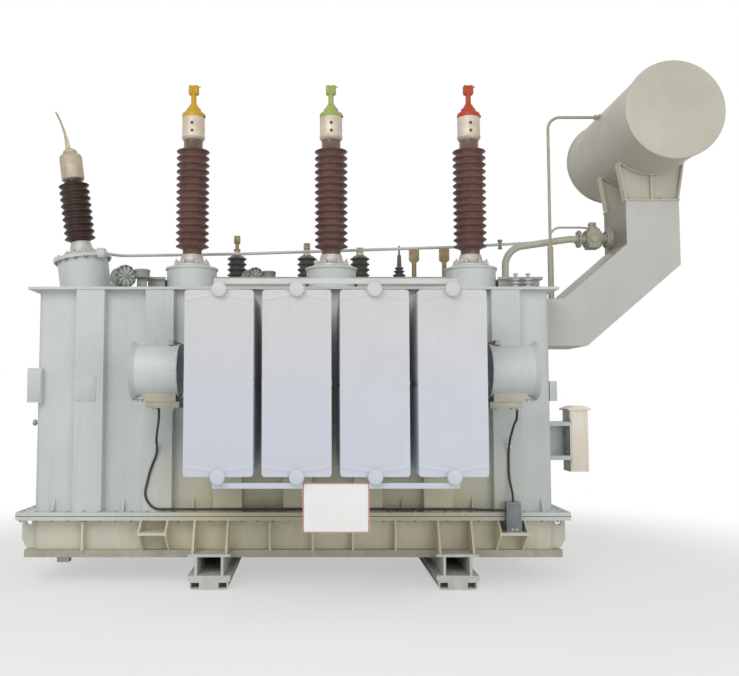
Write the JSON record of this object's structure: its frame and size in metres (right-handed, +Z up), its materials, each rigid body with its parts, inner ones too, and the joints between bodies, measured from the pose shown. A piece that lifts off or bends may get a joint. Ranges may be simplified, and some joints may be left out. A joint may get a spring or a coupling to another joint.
{
  "type": "power transformer",
  "caption": "Oil-filled power transformer: ribbed bell tank on skids with finned radiators, cooling fans, tall porcelain bushings and a conservator on a gooseneck.",
  "frame": {"origin": "on the ground in the centre of the foundation bolts, under the middle high-voltage bushing line", "axes": "+X along the tank towards the conservator, -Y the high-voltage front, +Z up"},
  "size_m": [6.1808, 3.74, 4.576],
  "materials": {
    "tank_paint": "satin pale grey-green enamel",
    "base_paint": "dusty olive-grey enamel",
    "radiator_paint": "satin pale grey enamel",
    "conservator_paint": "satin beige-grey enamel",
    "brown_porcelain": "glossy brown glaze",
    "dark_porcelain": "glossy dark brown glaze",
    "cast_aluminium": "dull cast metal",
    "brass": "weathered brass",
    "yellow_paint": "gloss phase colour",
    "green_paint": "gloss phase colour",
    "red_paint": "gloss phase colour",
    "fan_paint": "satin pale grey enamel",
    "cabinet_paint": "satin cream enamel",
    "sign_white": "white enamel",
    "cable_sheath": "matt black sheath"
  },
  "bodies": {
    "root": {"base_plate": "base_paint", "bell_flange": "tank_paint", "bell_ribs": "tank_paint", "bell_tank": "tank_paint", "cabinet_arms": "tank_paint", "conservator_ends": "conservator_paint", "conservator_shell": "conservator_paint", "control_cabinet": "cabinet_paint", "cover_plate": "tank_paint", "earthing_bushing": "dark_porcelain", "fan_brackets": "tank_paint", "fan_housings": "fan_paint", "fan_leads": "cable_sheath", "fan_motors": "fan_paint", "fan_rotors": "fan_paint", "flag_terminals": "brass", "flange_gussets": "tank_paint", "gas_pipe": "tank_paint", "gas_relay": "tank_paint", "gooseneck": "tank_paint", "haulage_lugs": "base_paint", "hv_feet": "cast_aluminium", "hv_heads": "cast_aluminium", "hv_porcelains": "brown_porcelain", "hv_terminal_centre": "green_paint", "hv_terminal_left": "yellow_paint", "hv_terminal_right": "red_paint", "hv_turrets": "tank_paint", "jacking_lugs": "base_paint", "lower_flange": "tank_paint", "lower_tank": "base_paint", "lower_tank_ribs": "base_paint", "lv_porcelains": "dark_porcelain", "lv_terminals": "brass", "neutral_foot": "cast_aluminium", "neutral_head": "cast_aluminium", "neutral_porcelain": "brown_porcelain", "neutral_strap": "cast_aluminium", "neutral_turret": "tank_paint", "radiator_front_1": "radiator_paint", "radiator_front_2": "radiator_paint", "radiator_front_3": "radiator_paint", "radiator_front_4": "radiator_paint", "radiator_rear_1": "radiator_paint", "radiator_rear_2": "radiator_paint", "radiator_rear_3": "radiator_paint", "radiator_rear_4": "radiator_paint", "radiator_valves": "radiator_paint", "raised_cover": "tank_paint", "relay_pipe": "tank_paint", "relief_valves": "tank_paint", "saddles": "tank_paint", "sign_plate": "sign_white", "skid_left": "base_paint", "skid_right": "base_paint", "small_valves": "tank_paint", "terminal_boxes": "tank_paint", "tie_bars": "radiator_paint", "vent_pipe": "tank_paint"}
  },
  "joints": []
}
